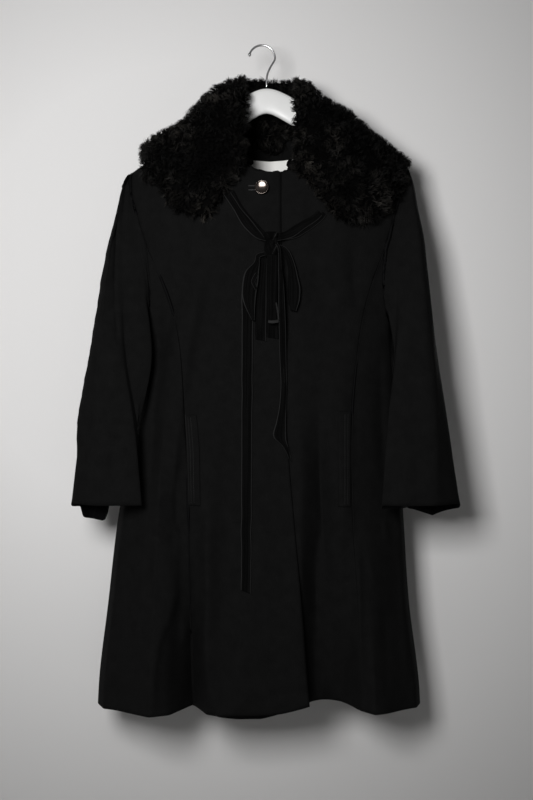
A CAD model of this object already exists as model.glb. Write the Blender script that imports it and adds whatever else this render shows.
"""A wool coat with a curly fur collar and a velvet bow, on a coat hanger.

Tables are in millimetres: x to the coat's left, z up from the hook's apex. Everything that is
built from them is in metres.
"""

import math

import bmesh
import bpy
import numpy as np
from mathutils import Matrix, Vector, noise
from mathutils.bvhtree import BVHTree
from mathutils.kdtree import KDTree


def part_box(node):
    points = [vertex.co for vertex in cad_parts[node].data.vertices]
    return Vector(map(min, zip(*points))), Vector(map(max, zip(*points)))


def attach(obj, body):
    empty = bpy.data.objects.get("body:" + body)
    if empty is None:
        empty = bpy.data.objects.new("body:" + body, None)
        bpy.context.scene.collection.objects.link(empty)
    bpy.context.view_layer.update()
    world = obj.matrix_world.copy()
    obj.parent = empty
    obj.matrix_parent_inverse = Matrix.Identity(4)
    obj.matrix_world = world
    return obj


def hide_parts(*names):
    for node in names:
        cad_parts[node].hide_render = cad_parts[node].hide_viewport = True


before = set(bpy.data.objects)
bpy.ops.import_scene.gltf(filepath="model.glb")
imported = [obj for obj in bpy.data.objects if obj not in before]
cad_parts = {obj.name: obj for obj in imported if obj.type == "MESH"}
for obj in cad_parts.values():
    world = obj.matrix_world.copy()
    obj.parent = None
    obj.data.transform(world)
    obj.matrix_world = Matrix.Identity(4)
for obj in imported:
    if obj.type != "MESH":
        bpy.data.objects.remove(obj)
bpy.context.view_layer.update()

MM = 0.001
scene = bpy.context.scene


# ---- camera, lights, wall and floor ----

CAMERA = (7.7, -1970, -605.3)
LENS, SENSOR = 51.8, 36
WALL_Y, FLOOR_Z = 90, -1500

camera = bpy.data.objects.new("camera", bpy.data.cameras.new("camera"))
camera.data.sensor_fit = "VERTICAL"
camera.data.sensor_height = SENSOR
camera.data.lens = LENS
camera.location = Vector(CAMERA) * MM
camera.rotation_euler = (math.pi / 2, 0, 0)
scene.collection.objects.link(camera)
scene.camera = camera
scene.view_settings.view_transform = "Standard"


def soft_light(name, place, aim, size, power):
    lamp = bpy.data.lights.new(name, "AREA")
    lamp.shape = "RECTANGLE"
    lamp.size, lamp.size_y = size
    lamp.energy = power
    holder = bpy.data.objects.new(name, lamp)
    holder.location = place
    holder.rotation_euler = (Vector(aim) - Vector(place)).to_track_quat("-Z", "Y").to_euler()
    scene.collection.objects.link(holder)


soft_light("key_light", (-0.46, -1.7, -0.2), (-0.22, 0.09, -0.38), (0.5, 0.6), 26)
soft_light("fill_light", (0.5, -2.8, 0.5), (0, 0, -0.4), (1.4, 1.4), 1.6)
soft_light("back_light", (0.9, 2.3, 0.3), (0, 0, -0.6), (1.6, 1.6), 16)

world = bpy.data.worlds.new("studio")
world.use_nodes = True
world.node_tree.nodes["Background"].inputs["Color"].default_value = (0.8, 0.8, 0.79, 1)
world.node_tree.nodes["Background"].inputs["Strength"].default_value = 0.05
scene.world = world


# ---- material helpers ----

def feed(tree, made, inputs):
    """Gives a node's inputs, by number or by name with _ for a space, a link or a constant."""
    for key, value in inputs.items():
        socket = made.inputs[key.replace("_", " ") if isinstance(key, str) else key]
        if isinstance(value, bpy.types.NodeSocket):
            tree.links.new(value, socket)
        elif socket.type == "RGBA" and len(value) == 3:
            socket.default_value = (*value, 1)
        else:
            socket.default_value = value


def new_material(name, **inputs):
    """A material with its tree and its surface shader, which has the inputs."""
    material = bpy.data.materials.new(name)
    material.use_nodes = True
    shader = material.node_tree.nodes["Principled BSDF"]
    feed(material.node_tree, shader, inputs)
    return material, material.node_tree, shader


def node(tree, kind, *first, **values):
    """One node: first are its first inputs; values are its properties, or inputs after in_."""
    made = tree.nodes.new(kind)
    inputs = dict(enumerate(first))
    for key, value in values.items():
        if key.startswith("in_"):
            inputs[key[3:]] = value
        else:
            setattr(made, key, value)
    feed(tree, made, inputs)
    return made


def calculate(tree, operation, *values):
    return node(tree, "ShaderNodeMath", *values, operation=operation).outputs[0]


def object_place(tree):
    return node(tree, "ShaderNodeTexCoord").outputs["Object"]


def clouds_at(tree, place, scale, detail, roughness=0.5):
    """Noise from 0 to 1 at a place."""
    return node(tree, "ShaderNodeTexNoise", in_Vector=place, in_Scale=scale, in_Detail=detail,
                in_Roughness=roughness).outputs["Fac"]


def ramp(tree, source, low, high, dark, light):
    """Maps a value from low..high to dark..light."""
    return node(tree, "ShaderNodeMapRange", in_Value=source, in_From_Min=low, in_From_Max=high,
                in_To_Min=dark, in_To_Max=light).outputs["Result"]


def blend_colour(tree, factor, first, second):
    made = node(tree, "ShaderNodeMix", data_type="RGBA")
    feed(tree, made, {0: factor, 6: first, 7: second})
    return made.outputs[2]


def dress(tree, shader, colour, height, strength, distance):
    """Gives a surface its colour and its bump."""
    bump = node(tree, "ShaderNodeBump", in_Height=height, in_Strength=strength,
                in_Distance=distance)
    feed(tree, shader, {"Base Color": colour, "Normal": bump.outputs["Normal"]})


def nap_group():
    """Brushed pile: fine fibres that lie downwards, in small clouds of lighter and darker cloth."""
    group = bpy.data.node_groups.new("brushed_nap", "ShaderNodeTree")
    for name, way in (("Fineness", "INPUT"), ("Contrast", "INPUT"), ("Shade", "OUTPUT"),
                      ("Height", "OUTPUT")):
        group.interface.new_socket(name=name, in_out=way, socket_type="NodeSocketFloat")
    take = node(group, "NodeGroupInput")
    place = object_place(group)
    lie = node(group, "ShaderNodeMapping", in_Vector=place, in_Scale=(1, 1, 0.35))
    fibres = clouds_at(group, lie.outputs["Vector"], take.outputs["Fineness"], 4, 0.65)
    clouds = clouds_at(group, place, 55, 3, 0.6)
    both = calculate(group, "ADD", fibres, clouds)
    centred = calculate(group, "SUBTRACT", both, 1)
    strong = calculate(group, "MULTIPLY_ADD", centred, take.outputs["Contrast"], 1)
    node(group, "NodeGroupOutput", in_Shade=strong, in_Height=fibres)
    return group


NAP = nap_group()


def napped(tree, fineness, contrast):
    """The nap's shade, near 1, and its height."""
    made = node(tree, "ShaderNodeGroup", node_tree=NAP, in_Fineness=fineness, in_Contrast=contrast)
    return made.outputs["Shade"], made.outputs["Height"]


def shaded(tree, colour, shade):
    """A colour made lighter and darker by a value near 1."""
    return node(tree, "ShaderNodeVectorMath", colour, operation="SCALE",
                in_Scale=shade).outputs["Vector"]


def attribute(tree, name, output="Fac"):
    made = node(tree, "ShaderNodeAttribute", attribute_name=name, attribute_type="GEOMETRY")
    return made.outputs[output]


def grey(value):
    return value, value, value


def faded(colour, share):
    return tuple(c * share for c in colour)


# ---- materials ----

def wool_material():
    material, tree, shader = new_material(
        "black_wool", Roughness=0.9, Specular_IOR_Level=0.04, Sheen_Weight=0.002,
        Sheen_Roughness=0.5, Sheen_Tint=grey(0.6),
    )
    shade, height = napped(tree, 700, 0.7)
    cloth = blend_colour(tree, attribute(tree, "worn"), grey(0.0056), grey(0.022))
    dress(tree, shader, shaded(tree, cloth, shade), height, 0.35, 0.0006)
    return material


def lining_material():
    """The inside: wool facing at the neck and the front edges, fine twill lining elsewhere."""
    material, tree, shader = new_material("lining", Specular_IOR_Level=0.06)
    shade, _ = napped(tree, 900, 0.4)
    twill = node(tree, "ShaderNodeTexWave", bands_direction="DIAGONAL", in_Scale=420,
                 in_Distortion=0.4, in_Vector=object_place(tree))
    facing = attribute(tree, "facing")
    cloth = blend_colour(tree, facing, (0.0026, 0.0026, 0.0028), grey(0.0036))
    feed(tree, shader, {"Roughness": ramp(tree, facing, 0, 1, 0.72, 0.9)})
    dress(tree, shader, shaded(tree, cloth, shade), twill.outputs["Fac"], 0.15, 0.0002)
    return material


def fur_material(name, gloss, sheen, dark=None):
    """Fur in one dark colour, or in the colours of its strands."""
    material, tree, shader = new_material(
        name, Roughness=0.6, Specular_IOR_Level=gloss, Sheen_Weight=sheen, Sheen_Roughness=0.4,
    )
    shade, height = napped(tree, 1500, 0.9)
    colour = dark or attribute(tree, "tone", "Color")
    dress(tree, shader, shaded(tree, colour, shade), height, 0.5, 0.0008)
    return material


SELVAGE = 0.075  # width of a ribbon's satin edge, as a share of its width


def velvet_material():
    """Deep pile between two narrow satin edges. The piece's UV runs across and along it."""
    material, tree, shader = new_material(
        "black_velvet", Specular_IOR_Level=0.06, Sheen_Weight=0.004, Sheen_Roughness=0.3,
    )
    layout = node(tree, "ShaderNodeUVMap", uv_map="lie").outputs["UV"]
    split = node(tree, "ShaderNodeSeparateXYZ", in_Vector=layout)
    across = calculate(tree, "SUBTRACT", split.outputs["X"], 0.5)
    side = calculate(tree, "ABSOLUTE", across)
    edge = ramp(tree, side, 0.5 - SELVAGE - 0.05, 0.5 - SELVAGE + 0.02, 0, 1)
    shade, height = napped(tree, 1600, 0.8)
    streaks = node(tree, "ShaderNodeVectorMath", layout, (13, 1.4, 0), operation="MULTIPLY")
    ribs = clouds_at(tree, streaks.outputs["Vector"], 1, 2, 0.6)
    crushed = ramp(tree, ribs, 0.42, 0.75, 0, 1)
    pile = shaded(tree, blend_colour(tree, crushed, grey(0.0009), grey(0.0048)), shade)
    feed(tree, shader, {"Roughness": ramp(tree, edge, 0, 1, 0.95, 0.5)})
    dress(tree, shader, blend_colour(tree, edge, pile, grey(0.0165)), height, 0.4, 0.0005)
    return material


def label_material():
    material, tree, shader = new_material(
        "woven_label", Roughness=0.6, Specular_IOR_Level=0.35, Sheen_Weight=0.2,
    )
    place = object_place(tree)
    warp, weft = (
        node(tree, "ShaderNodeTexWave", bands_direction=way, in_Scale=scale, in_Distortion=0.6,
             in_Vector=place).outputs["Fac"]
        for way, scale in (("X", 260), ("Z", 330))
    )
    weave = calculate(tree, "MAXIMUM", warp, weft)
    cloth = blend_colour(tree, weave, (0.75, 0.74, 0.71), (0.93, 0.92, 0.89))
    dress(tree, shader, cloth, weave, 0.3, 0.0002)
    return material


def thread_material():
    material, tree, shader = new_material(
        "sewing_thread", Roughness=0.55, Specular_IOR_Level=0.3, Sheen_Weight=0.2,
    )
    shade, height = napped(tree, 2600, 0.6)
    dress(tree, shader, shaded(tree, grey(0.03), shade), height, 0.3, 0.0001)
    return material


def polished_material(name, colour, roughness, metallic, specular, marks):
    """A smooth finish with faint handling marks in its gloss."""
    material, tree, shader = new_material(name, Metallic=metallic, Specular_IOR_Level=specular)
    smears = clouds_at(tree, object_place(tree), marks, 5, 0.6)
    gloss = ramp(tree, smears, 0.3, 0.7, roughness * 0.8, roughness * 1.3)
    feed(tree, shader, {"Roughness": gloss})
    dress(tree, shader, blend_colour(tree, smears, faded(colour, 0.93), colour), smears, 0.04,
          0.0003)
    return material


LIT_MIDDLE = (-0.12, 0.09, -0.42)  # the wall is painted lighter around here
LIT_REACH = (0.42, 1.15)


def wall_material(name, colour, one_sided):
    """Plain paint. A wall that is seen from behind, or lit from there, lets everything past."""
    material, tree, shader = new_material(name, Roughness=0.9, Specular_IOR_Level=0.2)
    place = object_place(tree)
    grain = clouds_at(tree, place, 260, 3)
    painted = blend_colour(tree, grain, faded(colour, 0.985), colour)
    if one_sided:
        away = node(tree, "ShaderNodeVectorMath", place, LIT_MIDDLE, operation="SUBTRACT")
        reach = node(tree, "ShaderNodeVectorMath", away.outputs["Vector"], operation="LENGTH")
        dim = ramp(tree, reach.outputs["Value"], *LIT_REACH, 0, 1)
        painted = blend_colour(tree, dim, painted, faded(colour, 0.55))
        behind = node(tree, "ShaderNodeNewGeometry").outputs["Backfacing"]
        unlit = node(tree, "ShaderNodeLightPath").outputs["Is Shadow Ray"]
        clear = node(tree, "ShaderNodeBsdfTransparent").outputs["BSDF"]
        mixer = node(tree, "ShaderNodeMixShader", calculate(tree, "MAXIMUM", behind, unlit),
                     shader.outputs["BSDF"], clear)
        feed(tree, tree.nodes["Material Output"], {"Surface": mixer.outputs["Shader"]})
    dress(tree, shader, painted, grain, 0.03, 0.0005)
    return material


WOOL = wool_material()
LINING = lining_material()
CURLS = fur_material("fur_curls", 0.07, 0.006)
PELT = fur_material("fur_pelt", 0.01, 0.0, dark=(0.0015, 0.0014, 0.0014))
VELVET = velvet_material()
LABEL = label_material()
THREAD = thread_material()
HANGER = polished_material("hanger_white", (0.84, 0.84, 0.83), 0.34, 0, 0.5, 40)
STEEL = polished_material("hook_steel", (0.62, 0.62, 0.63), 0.22, 1, 0.5, 300)
BUTTON = polished_material("button_gloss", (0.075, 0.062, 0.055), 0.12, 0.85, 0.6, 200)


# ---- piece helpers ----

def mesh_of(bm, name):
    mesh = bpy.data.meshes.new(name)
    bm.to_mesh(mesh)
    bm.free()
    return mesh


def finish_piece(name, mesh, materials, slot, *nodes):
    """Puts a mesh in the scene as a piece of the coat, for the CAD nodes that it stands for."""
    piece = bpy.data.objects.new(name, mesh)
    scene.collection.objects.link(piece)
    mesh.materials.clear()
    for material in materials:
        mesh.materials.append(material)
    mesh.shade_smooth()
    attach(piece, "root")
    if nodes:
        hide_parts(*nodes)
    return piece


def with_wall(piece, thickness, inside=None):
    wall = piece.modifiers.new("wall", "SOLIDIFY")
    wall.thickness = thickness * MM
    wall.offset = -1
    if inside is not None:
        wall.material_offset = inside
    return piece


def add_finer(piece, levels):
    finer = piece.modifiers.new("finer", "SUBSURF")
    finer.levels = finer.render_levels = levels
    return finer


def subdivided(bm, levels):
    """The mesh of a bmesh, smoothed by subdivision. Its corners stay where they are."""
    rough = bpy.data.objects.new("rough", mesh_of(bm, "rough"))
    scene.collection.objects.link(rough)
    add_finer(rough, levels).boundary_smooth = "PRESERVE_CORNERS"
    graph = bpy.context.evaluated_depsgraph_get()
    smooth = bpy.data.meshes.new_from_object(rough.evaluated_get(graph))
    bpy.data.objects.remove(rough)
    return smooth


def points_of(mesh):
    points = np.empty(len(mesh.vertices) * 3)
    mesh.vertices.foreach_get("co", points)
    return points.reshape(-1, 3)


def normals_of(mesh):
    normals = np.empty(len(mesh.vertices) * 3)
    mesh.vertex_normals.foreach_get("vector", normals)
    return normals.reshape(-1, 3)


def set_points(mesh, points):
    mesh.vertices.foreach_set("co", points.ravel())
    mesh.update()


def set_mask(mesh, name, values):
    made = mesh.attributes.new(name, "FLOAT", "POINT")
    made.data.foreach_set("value", np.asarray(values, dtype=np.float32))


def open_edge(mesh):
    """Indices of the vertices on a mesh's open edges."""
    bm = bmesh.new()
    bm.from_mesh(mesh)
    found = [v.index for v in bm.verts if v.is_boundary]
    bm.free()
    return found


def tree_of(meshes):
    points, faces = [], []
    for mesh in meshes:
        start = len(points)
        points += [v.co.copy() for v in mesh.vertices]
        faces += [[start + i for i in polygon.vertices] for polygon in mesh.polygons]
    return BVHTree.FromPolygons(points, faces)


def near_tree(points):
    tree = KDTree(len(points))
    for i, point in enumerate(points):
        tree.insert(point, i)
    tree.balance()
    return tree


def seen_at(tree, x, z, start=-0.5):
    """The place and normal where a look from the front, at x and z in metres, first lands."""
    return tree.ray_cast(Vector((x, start, z)), Vector((0, 1, 0)))[:2]


def face_front(bm):
    bmesh.ops.recalc_face_normals(bm, faces=bm.faces)
    if sum(f.normal.y for f in bm.faces) > 0:
        bmesh.ops.reverse_faces(bm, faces=bm.faces)


def bell(away, reach, power=2):
    """1 in the middle, falling to nothing past the reach."""
    return np.exp(-((away / reach) ** power))


# ---- cloth panels: the outer face of each CAD panel, made smooth and creased by hand ----

FOLD_LIMIT = math.radians(50)  # a sharper edge than this is the rim of a panel
WELD = 2e-5  # in metres: nearer points are the same one
SHOWS = 0.35  # how much of a patch has to face outwards for it to be kept


def patches(bm):
    """The faces of a solid in groups that join without a sharp edge."""
    seen, groups = set(), []
    for first in bm.faces:
        if first in seen:
            continue
        seen.add(first)
        waiting, group = [first], []
        while waiting:
            face = waiting.pop()
            group.append(face)
            for edge in face.edges:
                for other in edge.link_faces:
                    if other not in seen and edge.calc_face_angle(9) < FOLD_LIMIT:
                        seen.add(other)
                        waiting.append(other)
        groups.append(group)
    return groups


def merged_copy(name):
    bm = bmesh.new()
    bm.from_mesh(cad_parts[name].data)
    bmesh.ops.remove_doubles(bm, verts=bm.verts, dist=WELD)
    bm.normal_update()
    return bm


def four_sided(bm, flatness):
    bmesh.ops.join_triangles(
        bm, faces=bm.faces, angle_face_threshold=math.radians(flatness),
        angle_shape_threshold=math.radians(60),
    )


def outer_face(name, outwards):
    """The outer side of a CAD panel as a mesh of four-sided faces. outwards gives the way out
    at a place."""
    bm = merged_copy(name)
    groups = patches(bm)

    def showing(group):
        return sum(
            face.calc_area() * face.normal.dot(outwards(face.calc_center_median()))
            for face in group
        )

    outer = set(max(groups, key=showing))
    kept = set(outer)
    for group in groups:
        beside = {other for f in group for e in f.edges for other in e.link_faces}
        if beside & outer and showing(group) > SHOWS * sum(face.calc_area() for face in group):
            kept |= set(group)
    bmesh.ops.delete(bm, geom=[f for f in bm.faces if f not in kept], context="FACES")
    four_sided(bm, 35)
    sharpen(bm)
    return bm


PRESSED = math.radians(24)  # folds sharper than this keep an edge when the cloth is smoothed
PRESSED_RANGE = math.radians(40)  # past it, over which they grow sharper
PRESSED_BELOW = -0.3
FOLD_EDGE, CORNER = 0.75, 0.9  # how sharp they stay


def sharpen(bm):
    """Keeps pressed folds, and the corners of open edges."""
    folds = bm.edges.layers.float.new("crease_edge")
    corners = bm.verts.layers.float.new("crease_vert")
    for edge in bm.edges:
        if len(edge.link_faces) == 2 and edge.verts[0].co.z < PRESSED_BELOW:
            sharp = (edge.calc_face_angle(0) - PRESSED) / PRESSED_RANGE
            edge[folds] = min(max(sharp, 0), 1) * FOLD_EDGE
    for vert in bm.verts:
        rim = [e for e in vert.link_edges if e.is_boundary]
        if len(rim) == 2:
            a, b = ((e.other_vert(vert).co - vert.co).normalized() for e in rim)
            if a.angle(-b) > PRESSED:
                vert[corners] = CORNER


def towards(y):
    return lambda p: Vector((0, y, 0))


def from_axis(x, y):
    return lambda p: Vector((p.x - x * MM, p.y - y * MM, 0)).normalized()


FRONTS = ("front_right_centre", "front_right_side", "front_left_centre", "front_left_side")
PANELS = {name: towards(-1) for name in FRONTS} | {
    "back": towards(1), "sleeve_right": from_axis(-248, -30),
    "sleeve_left": from_axis(258, -32),
}
BODY = (*FRONTS, "back")
SLEEVES = ("sleeve_right", "sleeve_left")
LEVELS = 3
skins = {name: subdivided(outer_face(name, way), LEVELS) for name, way in PANELS.items()}

FIRM = 1.8  # how much deeper the creases are than their table says


def crease(points, line, out, left, right, fade=0.35, crisp=1.7):
    """How far each point moves out along one soft ridge, or in along a trough where out is
    negative. The line runs downwards through x and z; left and right are its widths there."""
    at = points[:, [0, 2]] / MM
    line = np.asarray(line, dtype=float)
    steps = np.linalg.norm(np.diff(line, axis=0), axis=1)
    total = steps.sum()
    near = np.full(len(at), 1e9)
    side = np.zeros(len(at))
    along = np.zeros(len(at))
    start = 0.0
    for (a, b), step in zip(zip(line[:-1], line[1:]), steps):
        way = (b - a) / step
        reach = np.clip((at - a) @ way, 0, step)
        away = at - (a + reach[:, None] * way)
        distance = np.linalg.norm(away, axis=1)
        closer = distance < near
        near[closer] = distance[closer]
        side[closer] = (way[0] * away[:, 1] - way[1] * away[:, 0])[closer]
        along[closer] = ((start + reach) / total)[closer]
        start += step
    ends = np.clip(np.minimum(along, 1 - along) / fade, 0, 1)
    ends = ends * ends * (3 - 2 * ends)
    return FIRM * out * bell(near, np.where(side < 0, left, right), crisp) * ends


# Each crease is its line, how far out, its widths to the left and the right, how much of it
# fades at each end, and how crisp it is where it isn't soft.
FRONT_CREASES = [
    # the long fold below the right underarm, and the troughs beside it
    ([(-90, -335), (-97, -375), (-107, -435), (-118, -490), (-124, -540), (-133, -610),
     (-139, -690), (-145, -750)], 6.5, 36, 15, 0.3),
    ([(-139, -640), (-142, -700), (-148, -765), (-147, -805), (-139, -831), (-141, -927),
     (-152, -965), (-168, -1003), (-175, -1059), (-175, -1132)], 4.4, 24, 6, 0.15, 1.3),
    ([(-143, -737), (-143, -836), (-135, -935), (-138, -1001), (-142, -1067), (-145, -1140)], -4.5,
     10, 18, 0.2),
    ([(-116, -930), (-113, -1010), (-117, -1080), (-116, -1140)], -3, 10, 4, 0.3, 1.3),
    ([(-109, -737), (-109, -836), (-105, -935), (-109, -1034), (-115, -1140)], -3, 12, 12, 0.2),
    ([(-128, -958), (-127, -985), (-125, -1018)], 3, 9, 8, 0.5),
    ([(-175, -787), (-190, -825), (-199, -863), (-201, -950), (-209, -968), (-239, -986)], 3.2, 11,
     9, 0.25),
    ([(-226, -878), (-217, -887), (-209, -894)], -1.8, 5, 5, 0.5),
    ([(-91, -737), (-89, -935), (-94, -980), (-104, -1079), (-104, -1140)], 3, 7, 14, 0.25),
    # the chest below the right shoulder, and the trough down the right armhole
    ([(-88, -318), (-118, -385), (-152, -462), (-168, -539), (-172, -600)], -4.5, 42, 12, 0.3),
    ([(-171, -430), (-175, -556), (-181, -671), (-186, -770)], -6, 10, 14, 0.25),
    # the right front beside its edge
    ([(-62, -560), (-58, -700), (-60, -860), (-66, -1000), (-64, -1130)], -1.8, 20, 26, 0.25),
    ([(-30, -930), (-34, -1020), (-38, -1150)], 1.8, 16, 22, 0.3),
    # what is buttoned under the right front's edge
    ([(5, -752), (18, -764), (30, -775)], 0.8, 3.5, 3.5, 0.45),
    ([(4, -792), (17, -802)], 0.7, 3.5, 3.5, 0.45),
    ([(22, -818), (29, -828), (35, -838)], 0.8, 3.5, 3.5, 0.45),
    # the left front, from its edge to its side
    ([(60, -600), (66, -737), (66, -869), (60, -980)], 2.6, 16, 12, 0.25),
    ([(96, -640), (98, -737), (98, -813), (91, -869), (86, -965), (86, -1130)], -4.5, 15, 13, 0.2),
    ([(128, -690), (131, -860), (130, -1000), (127, -1130)], 2.4, 15, 12, 0.25),
    ([(157, -820), (159, -889), (160, -1000), (160, -1135)], 3.6, 15, 7, 0.25),
    ([(200, -792), (207, -824), (217, -856)], 2.2, 7, 6, 0.4),
    ([(172, -858), (180, -884), (190, -912)], 1.4, 5, 5, 0.45),
    ([(70, -330), (90, -400), (120, -480), (138, -560)], -1.8, 24, 16, 0.35),
    ([(150, -330), (152, -400), (160, -470)], -2.6, 12, 12, 0.35),
    ([(196, -500), (200, -640), (206, -790)], -2.6, 12, 9, 0.3),
    ([(232, -860), (236, -960), (244, -1090)], 2.2, 10, 9, 0.3),
    ([(206, -930), (204, -1010), (206, -1110)], -2.2, 10, 10, 0.3),
    # under the bow, where its weight draws the fronts
    ([(-46, -320), (-52, -400), (-60, -500)], -1.2, 14, 12, 0.4),
    ([(58, -345), (66, -420), (70, -520)], 1.2, 12, 14, 0.4),
]
BACK_CREASES = [
    ([(-150, -330), (-166, -450), (-178, -600), (-190, -780)], -3.4, 12, 26, 0.3),
    ([(-118, -520), (-128, -700), (-140, -900), (-158, -1120)], 4, 18, 14, 0.25),
    ([(-92, -690), (-98, -860), (-112, -1000), (-118, -1150)], -3.6, 14, 16, 0.25),
    ([(-50, -460), (-54, -640), (-62, -830), (-66, -1150)], 2.4, 20, 18, 0.3),
    ([(-18, -760), (-22, -900), (-24, -1160)], -2.6, 16, 18, 0.3),
    ([(34, -700), (40, -860), (46, -1020), (46, -1160)], 3, 18, 14, 0.25),
    ([(72, -520), (84, -700), (92, -880), (98, -1150)], -3.4, 16, 18, 0.25),
    ([(128, -600), (138, -780), (150, -960), (158, -1120)], 3.8, 16, 13, 0.25),
    ([(176, -690), (190, -840), (202, -1000), (212, -1110)], -3, 12, 12, 0.25),
    ([(150, -320), (168, -440), (180, -600)], -3, 24, 12, 0.3),
    ([(-60, -236), (-20, -250), (40, -250), (84, -238)], -1.4, 12, 16, 0.3),
    ([(-206, -900), (-214, -985), (-232, -1060)], 2.2, 9, 9, 0.35),
]
SLEEVE_FRONT = {
    "sleeve_right": [
        ([(-239, -285), (-241, -420), (-236, -524)], -1.3, 4, 3, 0.2),
        ([(-228, -262), (-241, -325), (-246, -424), (-248, -500)], -3, 13, 16, 0.3),
        ([(-283, -630), (-284.5, -680), (-285, -728)], 1.5, 5, 6, 0.4),
        ([(-226, -430), (-252, -462), (-276, -480)], -1.8, 11, 9, 0.4),
        ([(-222, -520), (-246, -548), (-266, -560)], 1.6, 9, 8, 0.4),
        ([(-232, -610), (-238, -690), (-240, -780)], -1.8, 14, 12, 0.35),
        ([(-262, -540), (-268, -620), (-270, -720)], 1.4, 12, 10, 0.35),
    ],
    "sleeve_left": [
        ([(262, -270), (269, -341), (274, -440), (278, -572), (282, -688), (282, -779)], 3, 22, 9,
         0.15),
        ([(223, -526), (240, -529), (263, -534)], 1.8, 7, 5, 0.4),
        ([(216, -562), (228, -572), (240, -583)], 1.6, 6, 5, 0.4),
        ([(231, -620), (241, -632), (251, -645)], 1.8, 7, 5, 0.4),
        ([(240, -651), (257, -662), (278, -674)], 1.8, 7, 5, 0.4),
        ([(225, -546), (246, -552), (270, -558)], -1.4, 7, 7, 0.4),
        ([(236, -300), (238, -380), (240, -470)], -1.8, 12, 12, 0.35),
        ([(250, -690), (254, -740), (256, -796)], -1.6, 12, 12, 0.35),
    ],
}
SLEEVE_BACK = {
    "sleeve_right": [
        ([(-216, -280), (-228, -380), (-236, -480)], -2.6, 12, 13, 0.3),
        ([(-218, -500), (-244, -520), (-270, -526)], -1.8, 9, 8, 0.4),
        ([(-224, -556), (-250, -580), (-276, -588)], 1.7, 8, 7, 0.4),
        ([(-236, -640), (-262, -655), (-288, -660)], -1.5, 8, 8, 0.4),
    ],
    "sleeve_left": [
        ([(236, -280), (246, -380), (252, -480)], -2.4, 12, 13, 0.3),
        ([(226, -520), (252, -534), (280, -538)], -1.8, 8, 8, 0.4),
        ([(228, -580), (256, -596), (286, -600)], 1.6, 8, 7, 0.4),
        ([(242, -650), (266, -668), (292, -672)], -1.5, 8, 8, 0.4),
    ],
}

SEAM_REACH = 3.4  # two open edges nearer than this are sewn together
SEAM_DEPTH, SEAM_WIDTH = 0.5, 3
HAND, QUICK_SHARE = 1.5, 0.28  # how far the cloth waves where nothing folds it
SLOW, QUICK = (0.05, 0.11, 0.16), (0.021, 0.05, 0.045)  # sizes of its waves, in metres


def waved(point):
    """Slow, mostly upright waves, the same for every panel."""
    slow = noise.noise(Vector(point / SLOW))
    quick = noise.noise(Vector(point / QUICK + (7, 0, 0)))
    return HAND * (slow + QUICK_SHARE * quick)


def sewn_edges():
    """For each skin, a tree of the points where a sleeve is sewn to the body."""
    edges = {name: open_edge(mesh) for name, mesh in skins.items()}
    found = {}
    for name, mesh in skins.items():
        near = near_tree([
            skins[other].vertices[i].co for other in (BODY if name in SLEEVES else SLEEVES)
            for i in edges[other]
        ])
        found[name] = near_tree([
            mesh.vertices[i].co.copy() for i in edges[name]
            if near.find(mesh.vertices[i].co)[2] < SEAM_REACH * MM
        ])
    return found


# The back of each cuff hangs lower than its front: x and z of that edge.
CUFF_BACKS = {
    "sleeve_right": [(-314, -781), (-304, -783), (-300.5, -800), (-297, -803), (-268, -808),
                     (-263, -806), (-257.5, -794), (-254, -778), (-200, -776)],
    "sleeve_left": [(252, -787.2), (286.6, -799.5), (326, -784.3)],
}
CUFF_RIM = -0.76  # open edges below this are the cuff's
CUFF_FROM, CUFF_DEEP = -752, 34  # where the cuff starts to follow its edge, and over how much


def trim_cuff(mesh, line):
    """Lets the back of a cuff down, or takes it up, to the line."""
    points, normals = points_of(mesh), normals_of(mesh)
    rim = [i for i in open_edge(mesh) if points[i, 2] < CUFF_RIM and normals[i, 1] > 0]
    rim.sort(key=lambda i: points[i, 0])
    across = points[rim, 0] / MM
    goal = np.interp(across, *zip(*line))
    down = np.interp(points[:, 0] / MM, across, goal - points[rim, 2] / MM)
    share = np.clip((CUFF_FROM - points[:, 2] / MM) / CUFF_DEEP, 0, 1) ** 1.5
    points[:, 2] += down * share * np.clip(normals[:, 1] * 4, 0, 1) * MM
    set_points(mesh, points)


# How far out the right sleeve's outer side reaches, going up: z and x.
SLEEVE_SIDE = [(-673, -311.6), (-605, -301.5), (-538, -290), (-470, -280), (-403, -271),
               (-336, -259.5), (-302, -251), (-262, -243), (-230, -236)]
SIDE_FROM, SIDE_TO, SIDE_DEEP = -700, -215, 50  # the part that moves, in z and from the side
MOST = 12


def fill_out(mesh, line):
    """Moves the outer side of the right sleeve out to the line."""
    points = points_of(mesh)
    out, height = -points[:, 0] / MM, points[:, 2] / MM
    levels = np.arange(SIDE_FROM, SIDE_TO, 10.0)
    reach = np.array([out[np.abs(height - level) < 7].max() for level in levels])
    goal = np.interp(height, [z for z, _ in line], [-x for _, x in line])
    now = np.interp(height, levels, reach)
    window = np.clip((height - SIDE_FROM) / 60, 0, 1) * np.clip((SIDE_TO - height) / 30, 0, 1)
    push = np.clip(goal - now, 0, MOST) * window
    points[:, 0] -= push * np.clip((out - now) / SIDE_DEEP + 1, 0, 1) ** 1.4 * MM
    set_points(mesh, points)


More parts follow.
